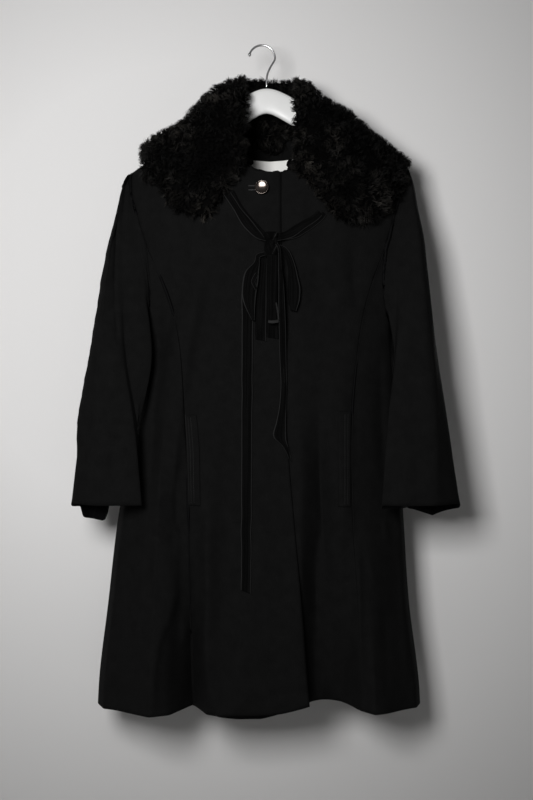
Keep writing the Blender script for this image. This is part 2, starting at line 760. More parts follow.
for name, line in CUFF_BACKS.items():
    trim_cuff(skins[name], line)
fill_out(skins["sleeve_right"], SLEEVE_SIDE)
SEWN = sewn_edges()
for name, mesh in skins.items():
    points, normals = points_of(mesh), normals_of(mesh)
    steady = np.abs(normals[:, 1]) ** 0.6
    if name in SLEEVES:
        way = normals
        face = np.clip(0.5 - normals[:, 1] * 1.2, 0, 1)
        jobs = ((SLEEVE_FRONT[name], face), (SLEEVE_BACK[name], 1 - face))
    else:
        way = np.zeros_like(normals)
        way[:, 1] = 1 if name == "back" else -1
        jobs = ((BACK_CREASES if name == "back" else FRONT_CREASES, steady),)
    out = np.zeros(len(points))
    for table, share in jobs:
        for row in table:
            out += crease(points, *row) * share
    out += np.array([waved(p) for p in points]) * steady
    sewn = np.array([min(SEWN[name].find(p)[2] or 9, 9) for p in points]) / MM
    out -= SEAM_DEPTH * bell(sewn, SEAM_WIDTH, 1.5)
    set_points(mesh, points + way * out[:, None] * MM)


def rim_lines(names):
    """The open edges of some skins as pairs of points."""
    lines = []
    for name in names:
        bm = bmesh.new()
        bm.from_mesh(skins[name])
        lines += [[tuple(v.co) for v in e.verts] for e in bm.edges if e.is_boundary]
        bm.free()
    return np.array(lines)


def nearest_on(lines, points):
    """For each point, the nearest place on the lines."""
    start, along = lines[:, 0], lines[:, 1] - lines[:, 0]
    length = np.maximum((along ** 2).sum(axis=1), 1e-12)
    found = np.empty_like(points)
    for k, point in enumerate(points):
        share = np.clip(((point - start) * along).sum(axis=1) / length, 0, 1)
        places = start + along * share[:, None]
        found[k] = places[((places - point) ** 2).sum(axis=1).argmin()]
    return found


def drag(mesh, rim, shifts, reach):
    """Moves the rim's points by the shifts, and draws the cloth near them along."""
    points = points_of(mesh)
    tree = near_tree(points[rim])
    moved = points.copy()
    for i, point in enumerate(points):
        near = tree.find_n(point, 3)
        if near[0][2] < reach * MM:
            weights = np.array([1 / (away + 1e-5) for _, _, away in near])
            shift = (shifts[[k for _, k, _ in near]] * weights[:, None]).sum(axis=0)
            moved[i] += shift / weights.sum() * (1 - near[0][2] / (reach * MM)) ** 2
    moved[rim] = points[rim] + shifts
    set_points(mesh, moved)


HEAD_RIM = -0.6  # open edges above this are the sleeve head's
LAP = 0.25  # so that no gap is left between sewn edges
HEAD_REACH, HEAD_FADE = 9, 4  # a sleeve head is drawn in from here, and from up to this further
PANEL_DRAG, HEAD_DRAG = 9, 14  # how far into the cloth the pull reaches


def join_panels():
    """Panels that are sewn together meet in the middle of the gap between them."""
    jobs = []
    for name in BODY:
        lines = rim_lines([other for other in BODY if other != name])
        rim = np.array(open_edge(skins[name]))
        points = points_of(skins[name])[rim]
        shifts = nearest_on(lines, points) - points
        far = np.linalg.norm(shifts, axis=1)[:, None]
        lapped = shifts * (0.5 + LAP * MM / np.maximum(far, LAP * MM))
        jobs.append((name, rim, np.where(far < SEAM_REACH * MM, lapped, 0)))
    for name, rim, shifts in jobs:
        drag(skins[name], rim, shifts, PANEL_DRAG)


def join_sleeve(mesh, lines):
    """Brings a sleeve's head to the armhole's edge."""
    points = points_of(mesh)
    rim = np.array([i for i in open_edge(mesh) if points[i, 2] > HEAD_RIM])
    shifts = nearest_on(lines, points[rim]) - points[rim]
    far = np.linalg.norm(shifts, axis=1) / MM
    share = np.clip((HEAD_REACH - far) / HEAD_FADE + 1, 0, 1)
    drag(mesh, rim, shifts * share[:, None] * 0.97, HEAD_DRAG)


join_panels()
lines = rim_lines(BODY)
for name in SLEEVES:
    join_sleeve(skins[name], lines)

CLOTH = 2.4
EDGE_X, FACING, NECK_Z = 20, 95, -330  # the front edge, the facing's reach, and the neck's
for name, mesh in skins.items():
    x, _, z = points_of(mesh).T / MM
    facing = np.clip((z - NECK_Z) / 30, 0, 1) * (name not in SLEEVES)
    if name.endswith("centre"):
        facing = np.maximum(facing, np.clip((FACING - np.abs(x - EDGE_X)) / 20, 0, 1))
    set_mask(mesh, "facing", facing)
    set_mask(mesh, "worn", np.zeros(len(x)))
    piece = with_wall(
        finish_piece("wool_" + name, mesh, (WOOL, LINING), "wool", name), CLOTH, inside=1
    )

FRONT = tree_of([skins[name] for name in FRONTS])
COAT = tree_of(list(skins.values()))
NO_CLOTH_Y = -70.0


def cloth_y(x, z):
    """How far forward the coat's front stands at x and z, in mm."""
    place, _ = seen_at(FRONT, x * MM, z * MM)
    return place.y / MM if place else NO_CLOTH_Y


# ---- fur collar: a dark pelt under curled tufts ----

PELT_DEPTH = 7.5  # below the tips, and no more than this share of the collar's thickness
PELT_SHARE = 0.42
TUFTS = 9000
STRANDS, BENDS = 5, 5
SEED = 11
rng = np.random.default_rng(SEED)
noise.seed_set(SEED)  # noise_vector shifts its noise by this, and otherwise by the clock

bm = merged_copy("fur_collar")
bmesh.ops.subdivide_edges(bm, edges=bm.edges, cuts=1, use_grid_fill=True, smooth=0.6)
bmesh.ops.triangulate(bm, faces=bm.faces)
bmesh.ops.recalc_face_normals(bm, faces=bm.faces)
collar = mesh_of(bm, "collar")
# where the fur stands fuller or lower: x, z, how far across and up, and reach
FUR_PUSHES = [
    (-218, -192, 12, 3, 34), (-128, -118, 3, -17, 26), (-178, -148, 0, 13, 22),
    (-14, -66, 0, 7, 34), (-140, -285, -7, -11, 30), (-62, -290, 7, -10, 24),
    (22, -172, 0, -20, 32), (-70, -80, -2, 9, 20), (-32, -62, 0, -6, 16), (24, -128, 0, 9, 18),
]
points = points_of(collar)
start = points[:, [0, 2]] / MM
for x, z, across, up, reach in FUR_PUSHES:
    share = np.exp(-(((start - (x, z)) ** 2).sum(axis=1) / reach ** 2))
    points[:, 0] += across * share * MM
    points[:, 2] += up * share * MM
set_points(collar, points)
collar_tree = tree_of([collar])
collar_points, collar_normals = points_of(collar), normals_of(collar)


def depth_below(point, normal):
    """How thick the collar is under a point, in metres."""
    hit = collar_tree.ray_cast(Vector(point) - Vector(normal) * 0.0002, -Vector(normal))
    return hit[3] if hit[0] else 0.004


depths = np.array([depth_below(p, n) for p, n in zip(collar_points, collar_normals)])
sunk = np.minimum(PELT_DEPTH * MM, depths * PELT_SHARE)

# where the fur's tips are worn brown and grey, and where it lies in its own shade: x, z, reach
# and strength
FADED = [
    (68, -232, 26, 1.0), (92, -276, 26, 1.0), (56, -262, 18, 0.9), (118, -300, 20, 0.8),
    (124, -175, 20, 0.6), (124, -230, 18, 0.5), (176, -262, 32, 0.5), (60, -165, 16, 0.6),
    (64, -88, 22, 0.45), (-140, -150, 30, 0.6), (-182, -168, 22, 0.45), (-96, -300, 26, 0.7),
    (-150, -270, 26, 0.5), (-48, -262, 20, 0.5), (-30, -180, 18, 0.5), (-78, -100, 26, 0.5),
    (-30, -62, 20, 0.45), (14, -150, 30, 0.4),
]
SHADED = [
    (-78, -215, 34, 0.85), (-72, -150, 26, 0.7), (-110, -232, 26, 0.6), (98, -120, 26, 0.8),
    (88, -185, 20, 0.6), (150, -165, 20, 0.8), (176, -205, 20, 0.8), (130, -262, 22, 0.6),
    (210, -200, 26, 0.5),
]
# valleys between the collar's waves, as creases
WAVES = [
    ([(112, -98), (136, -128), (158, -165), (173, -197), (203, -238)], -6, 8, 12, 0.15),
    ([(84, -92), (92, -140), (96, -190), (112, -240)], -4, 12, 12),
    ([(-60, -78), (-78, -130), (-84, -190), (-104, -244)], -4.5, 13, 14),
    ([(-150, -128), (-160, -170), (-158, -215), (-140, -250)], -3.5, 10, 10),
    ([(226, -150), (232, -190), (226, -232)], -3, 9, 9),
]


def rough(points, scale, shift=(0, 0, 0)):
    """Noise at each point, in lumps of a size in metres."""
    return np.array([noise.noise(Vector(p) / scale + Vector(shift)) for p in points])


LUMPS = ((3.5, 0.03), (2.6, 0.017), (1.2, 0.009))  # their heights, and sizes in metres


def relief(points):
    """How far the fur rises in lumps and sinks between the collar's waves, in mm."""
    lumps = sum(height * rough(points, size) for height, size in LUMPS)
    for row in WAVES:
        lumps += crease(points, *row) / FIRM
    return lumps


rise = np.maximum(relief(collar_points), -0.55 * (depths - sunk) / MM)
held_down = np.clip((sunk / MM - 3) / 3, 0, 1)
pelt = collar.copy()
set_points(pelt, collar_points - collar_normals * (sunk - rise * held_down * MM)[:, None])
finish_piece("fur_pelt", pelt, (PELT,), "fur", "fur_collar")

# The cloth lies under the pelt.
UNDER, REACHED, SAME_LAYER = 3, -0.33, 14
pelt_tree = tree_of([pelt])
for mesh in skins.values():
    points = points_of(mesh)
    for i in np.flatnonzero((points[:, 2] > REACHED) & (normals_of(mesh)[:, 1] < 0.2)):
        hit, _ = seen_at(pelt_tree, points[i, 0], points[i, 2])
        if hit and abs(hit.y - points[i, 1]) < SAME_LAYER * MM:
            points[i, 1] = max(points[i, 1], hit.y + UNDER * MM)
    set_points(mesh, points)

AIR = 0.014  # no tuft grows where cloth is nearer than this
triangles = np.array([list(polygon.vertices) for polygon in collar.polygons])
corners = collar_points[triangles]
edge_a, edge_b = corners[:, 1] - corners[:, 0], corners[:, 2] - corners[:, 0]
flat_normals = np.cross(edge_a, edge_b)
areas = np.linalg.norm(flat_normals, axis=1) / 2
flat_normals /= np.maximum(areas * 2, 1e-12)[:, None]
open_to_air = np.array([
    COAT.ray_cast(Vector(c), Vector(n), AIR)[0] is None
    for c, n in zip(corners.mean(axis=1), flat_normals)
])
chance = areas * open_to_air
chosen = rng.choice(len(triangles), TUFTS, p=chance / chance.sum())
share = rng.random((TUFTS, 2))
share = np.where(share.sum(axis=1, keepdims=True) > 1, 1 - share, share)
weights = np.column_stack([1 - share.sum(axis=1), share])
tuft_tops = (corners[chosen] * weights[:, :, None]).sum(axis=1)
tuft_ups = (collar_normals[triangles[chosen]] * weights[:, :, None]).sum(axis=1)
tuft_ups /= np.linalg.norm(tuft_ups, axis=1, keepdims=True)
tuft_sunk = (sunk[triangles[chosen]] * weights).sum(axis=1)
tuft_rise = (rise[triangles[chosen]] * weights).sum(axis=1) * np.clip(tuft_sunk / MM / 5, 0, 1)
tuft_roots = tuft_tops - tuft_ups * (tuft_sunk * 0.9 - tuft_rise * MM)[:, None]

DARK_TIP = np.array((0.0062, 0.006, 0.0057))
FADED_TIP = np.array((0.045, 0.0405, 0.035))
ROOT_TONE = 0.08  # of the tip's tone
CLUMPED = 1.3  # how much lighter and darker whole clumps are
LEANING, UNRULY, DROOP = 0.016, 0.55, 0.22  # how far tufts lean alike, apart and downwards
LONGER, UNEVEN, SHORTEST = 3.2, 3.0, 5  # a tuft's length past the pelt's depth
OPENED, REACHING = 0.22, 0.62  # how much its rise eases off, and how far it leans out
STRAND, TAPER = 0.4, 0.9  # a strand's half width, and how much of it is gone at the tip


def spread(points, spots):
    amount = np.zeros(len(points))
    for x, z, reach, strength in spots:
        away = np.hypot(points[:, 0] / MM - x, points[:, 2] / MM - z)
        amount = np.maximum(amount, strength * bell(away, reach))
    return amount


def unit(vectors):
    return vectors / np.maximum(np.linalg.norm(vectors, axis=-1, keepdims=True), 1e-9)


def flow(points, scale, shift):
    """A smooth random direction at each point."""
    return unit(np.array([
        noise.noise_vector(Vector(p) / scale + Vector((shift, 0, 0))) for p in points
    ]))


def curls(name, roots, ups, sunk, rises):
    """One mesh of tufts. Each is a few flat, tapered strands that lean and curl together."""
    count = len(roots)
    lean = flow(roots, LEANING, 3.1) + UNRULY * unit(rng.normal(size=(count, 3)))
    lean -= ups * (lean * ups).sum(axis=1, keepdims=True)
    lean = unit(lean)
    lean += np.array((0, 0, -DROOP))
    other = unit(np.cross(ups, lean))
    length = sunk / MM * 1.05 + LONGER + UNEVEN * rough(roots, 0.011, (0, 5, 0))
    length = np.maximum(length + rng.normal(0, 0.9, count), SHORTEST) * MM
    turn = rng.uniform(0, 2 * math.pi, count)
    spin = np.where(rng.random(count) < 0.5, -1, 1) * rng.uniform(0.7, 1.5, count)
    curl = rng.uniform(1.4, 3.0, count) * MM

    def each(values, spread=0.0):
        wide = np.repeat(values, STRANDS, axis=0)
        return wide + rng.normal(0, spread, wide.shape) if spread else wide

    root, up, side = each(roots), each(ups), each(other)
    leaning = each(lean, 0.12)
    root = root + (leaning * rng.normal(0, 1.0, (len(root), 1))
                   + side * rng.normal(0, 1.0, (len(root), 1))) * MM
    long = each(length, 0.9 * MM)
    angle, turns, radius = each(turn, 0.35), each(spin, 0.12), each(curl, 0.35 * MM)
    wide = rng.uniform(1.0, 1.9, len(root)) * MM
    t = np.linspace(0, 1, BENDS + 1)
    grow = long[:, None] * (t - OPENED * t ** 2)
    tip = long[:, None] * REACHING * t ** 1.8
    bend = angle[:, None] + turns[:, None] * 2 * math.pi * t
    ring = radius[:, None] * t * (1.15 - 0.45 * t)
    path = (
        root[:, None] + up[:, None] * grow[..., None] + leaning[:, None] * tip[..., None]
        + leaning[:, None] * (ring * np.cos(bend))[..., None]
        + side[:, None] * (ring * np.sin(bend))[..., None]
    )
    along = unit(np.gradient(path, axis=1))
    flat = unit(np.cross(along, up[:, None] + 0.5 * unit(rng.normal(size=(len(root), 1, 3)))))
    half = wide[:, None] * STRAND * (1 - t ** 1.6 * TAPER)
    points = np.stack([path - flat * half[..., None], path + flat * half[..., None]], axis=2)
    ring_start = np.arange(len(root) * (BENDS + 1)).reshape(len(root), BENDS + 1)[:, :-1] * 2
    faces = np.stack(
        [ring_start, ring_start + 1, ring_start + 3, ring_start + 2], axis=-1
    ).reshape(-1, 4)
    mesh = bpy.data.meshes.new(name)
    mesh.vertices.add(points.size // 3)
    mesh.vertices.foreach_set("co", points.ravel())
    mesh.loops.add(faces.size)
    mesh.loops.foreach_set("vertex_index", faces.ravel().astype(np.int32))
    mesh.polygons.add(len(faces))
    mesh.polygons.foreach_set("loop_start", np.arange(0, faces.size, 4, dtype=np.int32))
    mesh.update(calc_edges=True)

    worn = spread(roots, FADED) * rng.uniform(0.2, 1.0, count) + rng.uniform(0, 0.12, count)
    tip_tone = DARK_TIP + (FADED_TIP - DARK_TIP) * np.clip(worn, 0, 1)[:, None]
    high = np.clip(0.75 + rises / 5, 0.3, 1.5) * (1 - 0.75 * spread(roots, SHADED))
    high *= np.exp(CLUMPED * (rough(roots, 0.0105) + 0.7 * rough(roots, 0.028, (9, 0, 0))))
    tip_tone *= rng.uniform(0.55, 1.45, (count, 1)) * high[:, None]
    strand_tone = each(tip_tone) * rng.uniform(0.8, 1.2, (len(root), 1))
    tone = strand_tone[:, None] * (ROOT_TONE + (1 - ROOT_TONE) * t ** 1.3)[None, :, None]
    tone = np.repeat(tone[:, :, None], 2, axis=2).reshape(-1, 3)
    colours = mesh.color_attributes.new("tone", "FLOAT_COLOR", "POINT")
    colours.data.foreach_set("color", np.column_stack([tone, np.ones(len(tone))]).ravel())
    finish_piece(name, mesh, (CURLS,), "fur")


order = np.argsort(tuft_roots[:, 0])
for name, part in zip(("fur_right", "fur_middle", "fur_left"), np.array_split(order, 3)):
    curls(name, tuft_roots[part], tuft_ups[part], tuft_sunk[part], tuft_rise[part])


# ---- velvet bow ----

def eased(values, count):
    """count values on a smooth curve through the given ones, evenly along them."""
    values = np.asarray(values, dtype=float)
    padded = np.vstack([2 * values[0] - values[1], values, 2 * values[-1] - values[-2]])
    made = []
    for place in np.linspace(0, len(values) - 1, count):
        k = min(int(place), len(values) - 2)
        t = place - k
        a, b, c, d = padded[k:k + 4]
        made.append(0.5 * (2 * b + (c - a) * t + (2 * a - 5 * b + 4 * c - d) * t ** 2
                           + (3 * b - a - 3 * c + d) * t ** 3))
    return np.array(made)


RIBBON = 1.0
ACROSS = 9  # faces across a ribbon, narrow at its edges
STEP = 2.6  # along it
SOUNDED = (0.05, 0.35, 0.65, 0.95)  # where across it the cloth below is felt for
PLAIN, SATIN = 0.78, 0.03  # across its UV: how much has no satin edge, and where all is satin


def ribbon(name, rows, slots=(), curl=0.4, ripple=0.5, seed=1, satin=(True, True), wander=0.6):
    """A ribbon laid along rows of (edge x, edge z, other edge x, z, height off the coat).
    satin says which of its two edges show, or is None for a strip that is all satin."""
    rows = np.asarray(rows, dtype=float)
    reach = np.linalg.norm(np.diff((rows[:, :2] + rows[:, 2:4]) / 2, axis=0), axis=1).sum()
    count = max(16, int(reach / STEP))
    line = eased(rows, count)
    bm = bmesh.new()
    layout = bm.loops.layers.uv.new("lie")
    bmesh.ops.create_grid(bm, x_segments=ACROSS, y_segments=count - 1, size=0.5, calc_uvs=True)
    ground = np.array([
        [cloth_y(ax + (bx - ax) * t, az + (bz - az) * t) for t in SOUNDED]
        for ax, az, bx, bz, _ in line
    ])
    smooth = ground.copy()
    for k in range(len(ground)):
        near = ground[max(0, k - 2):k + 3]
        smooth[k] = np.minimum(near.mean(axis=0), ground[k] + 0.5)
    for face in bm.faces:
        for corner in face.loops:
            u = corner[layout].uv.x
            if satin is None:
                u = SATIN
            elif not satin[0 if u < 0.5 else 1]:
                u = 0.5 + (u - 0.5) * PLAIN
            corner[layout].uv.x = u
    rows_of = {}
    for vert in bm.verts:
        u, v = vert.co.x + 0.5, vert.co.y + 0.5
        row = min(int(round(v * (count - 1))), count - 1)
        ax, az, bx, bz, off = line[row]
        rows_of[vert] = row
        stray = wander * noise.noise(Vector((row * 0.09, seed * 3, 0)))
        ax, bx = ax + stray, bx + stray
        u = 0.5 + 0.5 * math.copysign(abs(2 * u - 1) ** 0.75, 2 * u - 1)
        x, z = ax + (bx - ax) * u, az + (bz - az) * u
        y = np.interp(u, SOUNDED, smooth[row])
        lift = curl * (2 * u - 1) ** 2
        lift += ripple * noise.noise(Vector((u * 1.6, row * 0.07, seed)))
        vert.co = Vector((x, y - off - lift, z)) * MM
    bmesh.ops.recalc_face_normals(bm, faces=bm.faces)
    showing = [f for f in bm.faces if rows_of[f.verts[0]] < 0.35 * count]
    if sum(f.normal.y * f.calc_area() for f in showing) > 0:
        bmesh.ops.reverse_faces(bm, faces=bm.faces)
    piece = finish_piece(name, mesh_of(bm, name), (VELVET,), "velvet", *slots)
    with_wall(piece, RIBBON)


def loop_rows(rows, front, depth):
    """A loop: down in front, round at the bottom and up again behind."""
    last = rows[-1]
    down = [(ax, az, bx, bz, front) for ax, az, bx, bz in rows]
    turn = [
        (last[0], last[1] - depth * drop, last[2], last[3] - depth * drop, front - depth * back)
        for drop, back in ((0.3, 0.2), (0.42, 0.5), (0.3, 0.8))
    ]
    up = [(ax, az, bx, bz, front - depth) for ax, az, bx, bz in reversed(rows)]
    return down + turn + up


LAID = 2.2  # height off the coat of a ribbon that lies on it
ribbon("velvet_tie_right", [
    (-66, -262, -52, -262, LAID + 3), (-55, -278, -42, -277, LAID + 2),
    (-45.9, -292.2, -33.6, -290.2, LAID + 1.4), (-33.6, -314.7, -19.3, -306.5, LAID + 2),
    (-21.3, -329, -9, -320, LAID + 4), (-9.1, -339.3, -0.9, -331.1, LAID + 7),
    (3.2, -343.4, 3.2, -337.2, LAID + 9), (8, -344, 8, -338, LAID + 9),
], ["ribbon_tie_right"], seed=2)
ribbon("velvet_tie_right_under", [
    (-56, -272, -46, -259, LAID), (-41, -291, -34.5, -281, LAID),
    (-27, -309, -19, -302, LAID + 0.6), (-12, -326, -5, -318, LAID + 2.4),
    (2, -338, 5, -330, LAID + 6), (9, -340, 10, -332, LAID + 7),
], seed=12, satin=(False, False))
ribbon("velvet_tie_left", [
    (22, -345, 22, -333, LAID + 9), (29.8, -343.4, 29.8, -331.1, LAID + 8),
    (42.1, -340.3, 40, -326.5, LAID + 5), (54.4, -335.2, 54.4, -316.8, LAID + 3),
    (70.7, -322.9, 68, -309, LAID + 1.6), (91.2, -308.6, 83, -300.4, LAID + 1.6),
    (100, -300, 92, -292, LAID + 3),
], ["ribbon_tie_left"], seed=3, satin=(True, False))
ribbon("velvet_tie_left_under", [
    (40, -341.5, 41, -334, LAID + 3), (58.5, -337, 57, -327, LAID + 1),
    (72, -329, 70, -319, LAID), (83, -322, 80, -312, LAID), (99.4, -308.6, 92, -302, LAID),
    (106, -300, 100, -294, LAID + 1),
], seed=13, satin=(True, False))
ribbon("velvet_loop_right", loop_rows([
    (8, -360, 11, -366), (3.2, -362, 6, -368), (-9, -366.5, -2.9, -371),
    (-12.5, -379, -3.4, -381), (-26.5, -393.5, -4.4, -394), (-31.6, -411, -5.6, -410),
    (-32.6, -433.4, -9.1, -431.4), (-27.5, -451.8, -11, -452), (-17.5, -472, -12, -473),
], 9.5, 5), ["ribbon_loop_right"], seed=4)
ribbon("velvet_loop_right_fold", [
    (-9, -396, -6, -399, 10.3), (-13, -401, -8, -404, 10.8), (-17.4, -410.9, -11, -411, 11.2),
    (-14.5, -418, -9.5, -416, 10.8), (-10, -426, -7.5, -421, 10.2),
], seed=14, wander=0)
ribbon("velvet_loop_left", loop_rows([
    (22, -360, 22, -352), (29, -358, 30, -350.5), (36, -365, 40, -355), (40, -377, 48, -366),
    (43, -391, 55, -386), (42.5, -408, 59.5, -404.7), (42, -424, 63, -421),
    (43, -440, 62, -441), (47, -456, 57, -458),
], 9.5, 5), ["ribbon_loop_left"], seed=5, satin=(False, True))
ribbon("velvet_loop_centre", loop_rows([
    (9, -364, 25.5, -364), (7.9, -388, 26.5, -388), (7.7, -420, 26.5, -420),
    (7.9, -450, 26.5, -450), (8.4, -474, 26.8, -474),
], 15.5, 4.5), ["ribbon_loop_centre"], seed=6, satin=(False, False), curl=-1.4, ripple=1.4)
ribbon("velvet_loop_centre_hem", [
    (10.3, -474.6, 10.3, -479, 15.6), (16, -475.4, 16, -480, 16), (22, -475, 22, -479.6, 16),
    (27.7, -473.6, 27.7, -478.6, 15.4),
], seed=15, satin=None, wander=0)
ribbon("velvet_loop_centre_turn", [
    (23, -446, 24.3, -446, 16), (24.6, -456, 26, -456, 16.4), (26, -466, 27.6, -466, 16.2),
    (26.8, -475, 28.4, -475, 15.8),
], seed=16, satin=None, wander=0)
ribbon("velvet_tail_long", [
    (-14, -384, -2, -371.5, 2.6), (-27, -398, -10, -391, LAID), (-33, -425, -14.4, -425, LAID),
] + [
    (-33 - k / 8, z, -14.4 - 3 * k / 8, z, LAID)
    for k, z in enumerate(range(-475, -876, -50))
] + [(-34, -916, -17.7, -922, LAID)], ["ribbon_tail_long"], seed=7, ripple=0.9, wander=1.1)
ribbon("velvet_tail_short", [
    (22, -350, 25, -348, 16), (26.6, -358, 30.4, -358, 17), (27.4, -388, 32.4, -388, 17),
    (27.6, -409, 35.5, -409, 17), (27.4, -454, 38, -454, 16), (28.4, -493, 39.5, -493, 12),
    (29, -525, 40, -525, 7), (31, -573, 41, -573, 3.6), (29, -615, 40.5, -612, 3.6),
    (24, -640, 39.5, -640, 3.6), (19, -664, 40, -668, 3.6), (34, -681, 44, -685, 3.6),
    (46, -703, 49, -706, 3.6),
], ["ribbon_tail_short"], seed=8, ripple=0.8)
ribbon("velvet_tail_short_under", [
    (31, -480, 36, -480, 1.8), (30, -520, 35.4, -520, 1.8), (31.5, -573, 37, -573, 1.8),
    (30, -610, 36, -610, 1.8),
], seed=18, satin=(False, True))
ribbon("velvet_end_centre", [
    (-1, -370.8, 9, -370.8, 3.4), (-6, -400, 8, -400, LAID + 0.8),
    (-10, -450, 7.5, -450, LAID + 0.6), (-11, -490, 7, -490, LAID + 0.6),
    (-11, -505, 7, -508.7, LAID + 0.6),
], ["ribbon_end_centre"], seed=9, satin=(False, True))
ribbon("velvet_end_second", [
    (10, -372, 24, -372, 3), (8, -420, 25, -420, LAID), (8, -470, 26.5, -470, LAID),
    (8.5, -502, 27, -505, LAID),
], seed=19, satin=(False, False))

# The knot: two turns of ribbon drawn together, with pleats that cross. z, half width and bulk.
KNOT_ROWS = [
    (-328.5, 9, 0.6), (-330.5, 11, 0.86), (-335, 11.6, 0.98), (-340, 11.4, 0.92),
    (-343, 10.7, 0.84), (-347, 11.4, 0.94), (-355, 12, 1), (-364, 11.8, 0.95),
    (-368.5, 11, 0.84), (-370.5, 9.4, 0.62),
]
KNOT_X, KNOT_Z, KNOT_DEPTH, KNOT_OFF = 15.7, -350, 17, 0.6
KNOT_RINGS, KNOT_SIDES = 64, 72
SQUARED = 0.72  # 1 would be a round knot
PLEATS = ((8, 0.2, 0, 0.9), (6, -0.3, 1, 0.7))  # turns across and up, start and height
PARTED, PARTING = 2.2, 7.5  # how deep and wide the two turns part, and how far up


def squared(value):
    return math.copysign(abs(value) ** SQUARED, value)


bm = bmesh.new()
layout = bm.loops.layers.uv.new("lie")
rows = eased(KNOT_ROWS, KNOT_RINGS)
bmesh.ops.create_cone(
    bm, cap_ends=True, cap_tris=False, segments=KNOT_SIDES, radius1=1, radius2=1, depth=1
)
bmesh.ops.subdivide_edges(
    bm, edges=[e for e in bm.edges if abs(e.verts[0].co.z - e.verts[1].co.z) > 0.5],
    cuts=KNOT_RINGS - 2, use_grid_fill=True,
)
for vert in bm.verts:
    turn = math.atan2(vert.co.y, vert.co.x)
    share = min(max(vert.co.z + 0.5, 0), 1)
    z, half, bulk = rows[int(round((1 - share) * (KNOT_RINGS - 1)))]
    up, across = z - KNOT_Z, squared(math.cos(turn))
    pleat = sum(math.sin(across * a + up * b + start) * high for a, b, start, high in PLEATS)
    pleat -= PARTED * bell(up - PARTING - across * 3, PARTED)
    deep = KNOT_DEPTH / 2 * bulk * (1 + squared(-math.sin(turn)))
    if math.sin(turn) < 0:
        deep += 0.9 * pleat
    x = KNOT_X + (half + 0.3 * pleat) * across
    vert.co = Vector((x, cloth_y(KNOT_X, z) - KNOT_OFF - deep, z)) * MM
bmesh.ops.recalc_face_normals(bm, faces=bm.faces)
for face in bm.faces:
    for corner in face.loops:
        across = (corner.vert.co.x / MM - KNOT_X) / 12
        lean = -0.3 if across > 0.1 else 0.2
        phase = (across * 7 + (corner.vert.co.z / MM - KNOT_Z) * lean + 0.6) / (2 * math.pi)
        wave = abs(2 * (phase % 1) - 1)
        corner[layout].uv = (0.5 + 0.46 * wave ** 3 + 0.2 * across, corner.vert.co.z * 20)
finish_piece("velvet_knot", mesh_of(bm, "velvet_knot"), (VELVET,), "velvet", "ribbon_knot")


# ---- pocket welts, with their stitching ----

WELTS = {  # z, and x at the outer and the inner edge
    "right": [(-629.5, -127.5, -108), (-655, -125.6, -105), (-686, -123.4, -102.4),
              (-717, -122.4, -101.8), (-748, -121.6, -101.3), (-779.5, -120.8, -100.9)],
    "left": [(-624, 147.4, 125.2), (-655, 147.2, 125.2), (-686, 147, 125.2),
             (-717, 146.8, 125.2), (-748, 146.4, 125.2), (-781, 145.8, 125.2)],
}
WELT_HEIGHT, WELT_WIDE, WELT_LONG = 2.7, 20, 155
WELT_ROWS, WELT_COLUMNS = 70, 14
STITCHED = (0.25, 0.475)  # across a welt
STITCH_LONG, STITCH_THICK = 2.6, 0.55
FALL, ROUND = 0.55, 0.9  # its edges: how much of its height goes, and over how much
ROLL, ROLL_AT, ROLL_WIDE = 0.5, 1.2, 1.3
GROOVE, GROOVE_WIDE = 0.45, 0.7


def add_bead(bm, place, size):
    """A small rounded stitch: a ball of diameter 1, sized and then placed."""
    made = bmesh.ops.create_icosphere(bm, subdivisions=1, radius=0.5)["verts"]
    bmesh.ops.transform(bm, matrix=place @ Matrix.Diagonal((*size, 1)), verts=made)


def stitch_row(bm, line, length, thick):
    """Small rounded stitches end to end along a line of points."""
    up, gone = Vector((0, -1, 0)), 0.0
    for a, b in zip(line[:-1], line[1:]):
        gone += (b - a).length
        if gone < length * MM:
            continue
        gone = 0.0
        way = (b - a).normalized()
        turn = Matrix((way, up.cross(way).normalized(), up)).transposed().to_4x4()
        size = (length * 0.8 * MM, thick * MM, thick * 0.8 * MM)
        add_bead(bm, Matrix.Translation(b) @ turn, size)


def welt_point(rows, u, v, height):
    down, outer, inner = (np.array(column) for column in zip(*rows))
    z = down[0] + (down[-1] - down[0]) * v
    out, far = np.interp(-z, -down, outer), np.interp(-z, -down, inner)
    x = out + (far - out) * u
    return Vector((x, cloth_y(x, z) - height, z)) * MM


